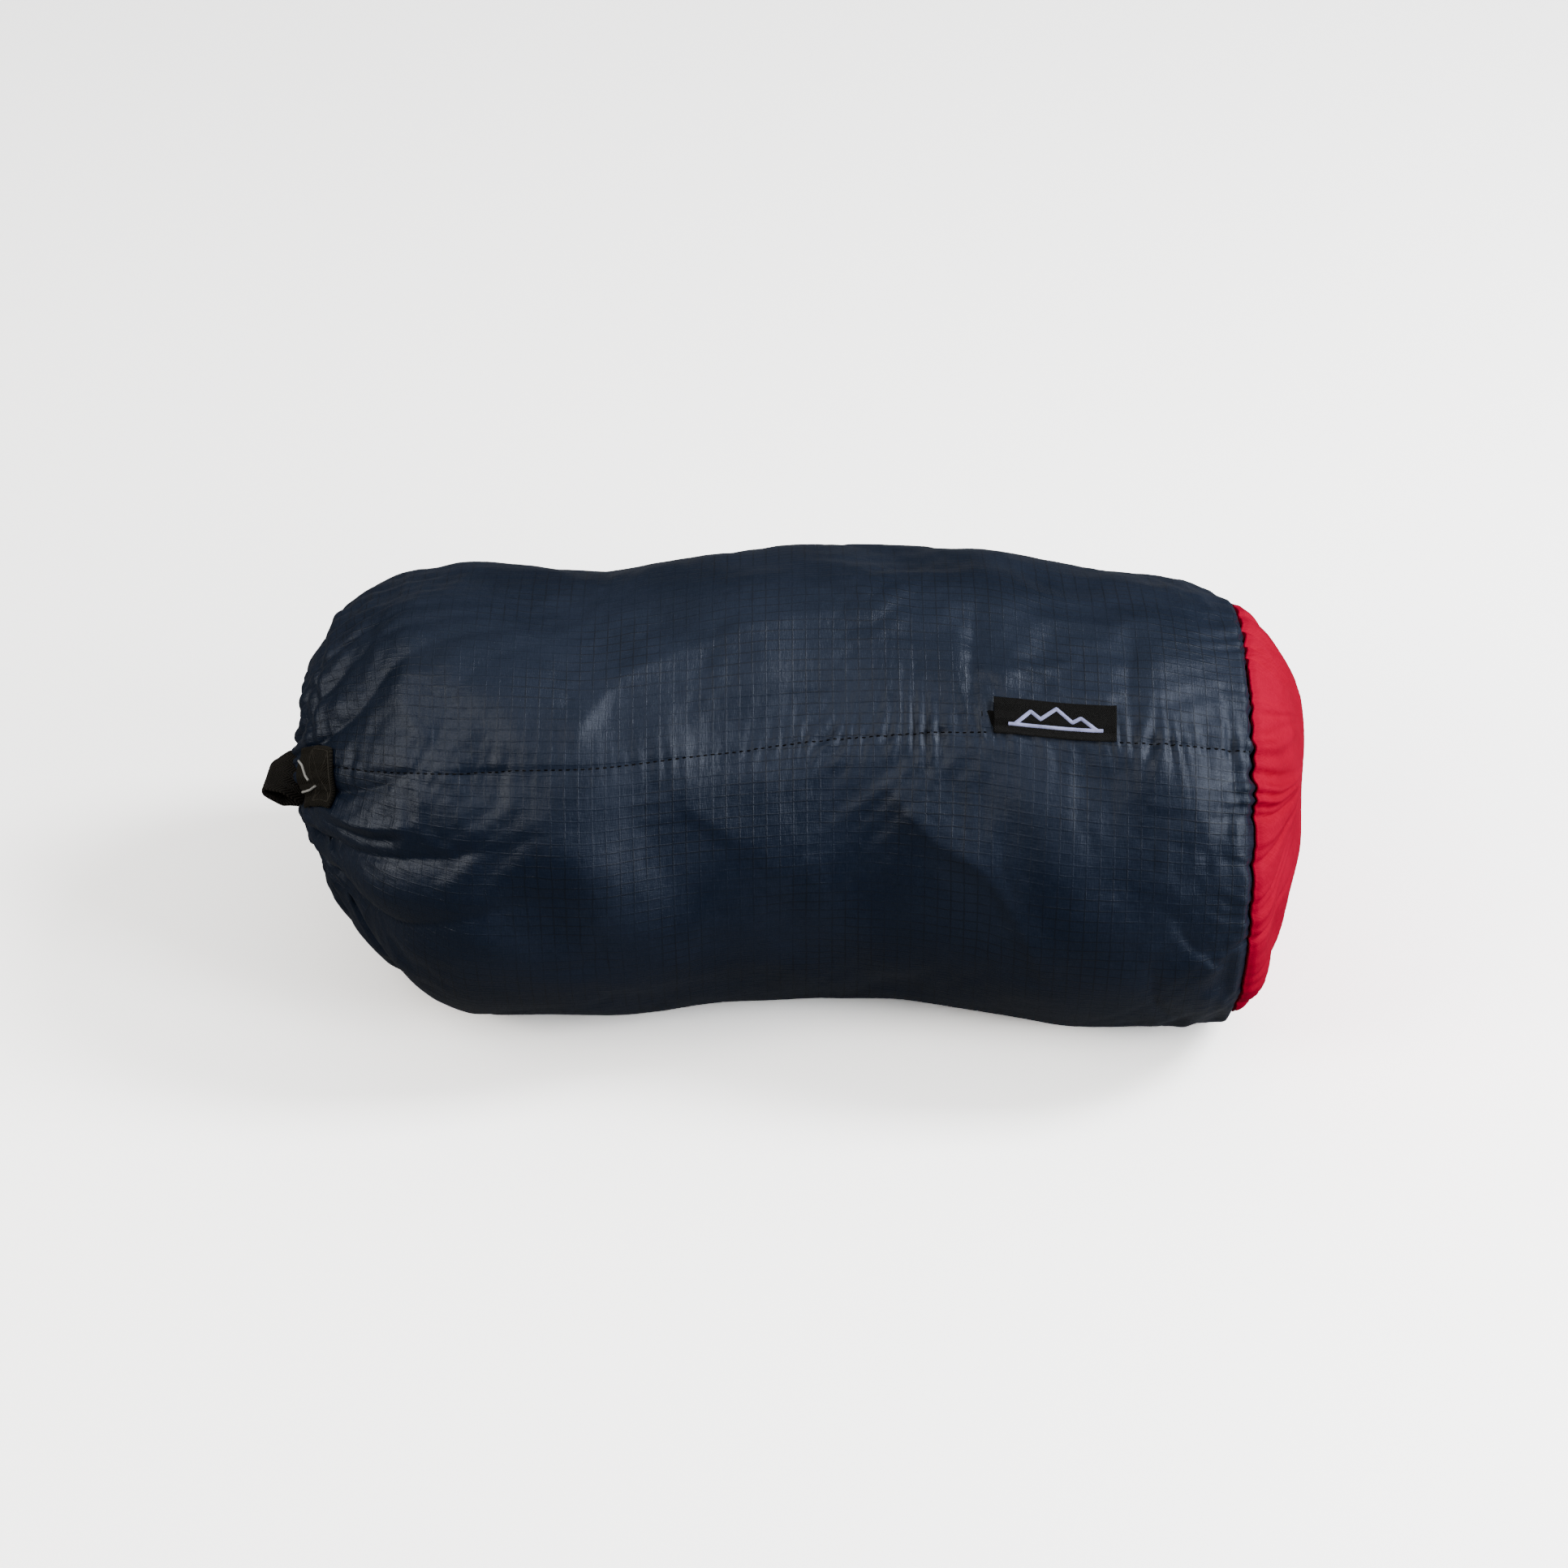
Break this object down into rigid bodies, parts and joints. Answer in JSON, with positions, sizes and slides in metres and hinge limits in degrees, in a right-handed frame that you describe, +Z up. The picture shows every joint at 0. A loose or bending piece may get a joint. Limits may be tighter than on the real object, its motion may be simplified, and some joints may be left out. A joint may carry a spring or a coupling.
{
  "type": "packed camping hammock",
  "caption": "Camping hammock rolled up inside a soft round drawstring stuff sack that lies on its side, with a sewn pull loop, a side label and a padded round bottom panel.",
  "frame": {"origin": "on the floor, on the flat that the sack rests on, about half way along the sack", "axes": "+X along the sack from its drawn mouth to its red bottom panel, +Z up, -Y the side with the long seam and the label"},
  "size_m": [0.3371, 0.1631, 0.1436],
  "materials": {
    "navy_ripstop": "semi-matt ripstop nylon",
    "red_ripstop": "semi-matt ripstop nylon",
    "black_webbing": "matt woven webbing",
    "black_label": "satin woven label",
    "black_cord": "braided cord",
    "grey_rope": "braided rope",
    "black_plastic": "fine-textured moulding",
    "spring_steel": "drawn wire",
    "anodised_aluminium": "grey anodised"
  },
  "bodies": {
    "sack": {"sack_body": "navy_ripstop", "sack_base": "red_ripstop", "drawcord_channel": "navy_ripstop", "drawcord": "black_cord", "pull_loop_anchor": "black_webbing", "hammock_centre_panel": "navy_ripstop", "hammock_left_panel": "red_ripstop", "hammock_right_panel": "red_ripstop", "head_end_sleeve": "navy_ripstop", "foot_end_sleeve": "navy_ripstop", "head_rope_loop": "grey_rope", "foot_rope_loop": "grey_rope", "head_carabiner": "anodised_aluminium", "foot_carabiner": "anodised_aluminium", "head_tree_strap": "black_webbing", "foot_tree_strap": "black_webbing"},
    "cord_lock": {"cord_lock_barrel": "black_plastic", "cord_lock_spring": "spring_steel"},
    "lock_plunger": {"cord_lock_plunger": "black_plastic"},
    "pull_loop": {"pull_loop": "black_webbing"},
    "label": {"woven_label": "black_label"},
    "head_gate": {"head_carabiner_gate": "spring_steel"},
    "foot_gate": {"foot_carabiner_gate": "spring_steel"}
  },
  "joints": [
    {"name": "cord_lock_slide", "type": "slide", "parent": "sack", "child": "cord_lock", "axis": [1, 0, 0], "range_m": [0, 0.013]},
    {"name": "plunger_press", "type": "slide", "parent": "cord_lock", "child": "lock_plunger", "axis": [0, -0.5736, -0.8192], "range_m": [0, 0.003], "stiffness_N_per_m": 400, "springref_m": -0.002, "deforming": ["cord_lock_spring"]},
    {"name": "pull_loop_flop", "type": "hinge", "parent": "sack", "child": "pull_loop", "pos_m": [-0.154, -0.01961, 0.0905], "axis": [0, -0.6293, -0.7771], "range_deg": [-38, 8], "stiffness_Nm_per_rad": 0.002},
    {"name": "label_flap", "type": "hinge", "parent": "sack", "child": "label", "pos_m": [0.0842, -0.04696, 0.12738], "axis": [0.9892, -0.1463, 0.0122], "range_deg": [0, 70], "stiffness_Nm_per_rad": 0.0005},
    {"name": "head_gate_open", "type": "hinge", "parent": "sack", "child": "head_gate", "pos_m": [-0.105, -0.008, 0.052], "axis": [1, 0, 0], "range_deg": [0, 26], "stiffness_Nm_per_rad": 0.08},
    {"name": "foot_gate_open", "type": "hinge", "parent": "sack", "child": "foot_gate", "pos_m": [-0.105, 0.008, 0.052], "axis": [-1, 0, 0], "range_deg": [0, 26], "stiffness_Nm_per_rad": 0.08}
  ]
}
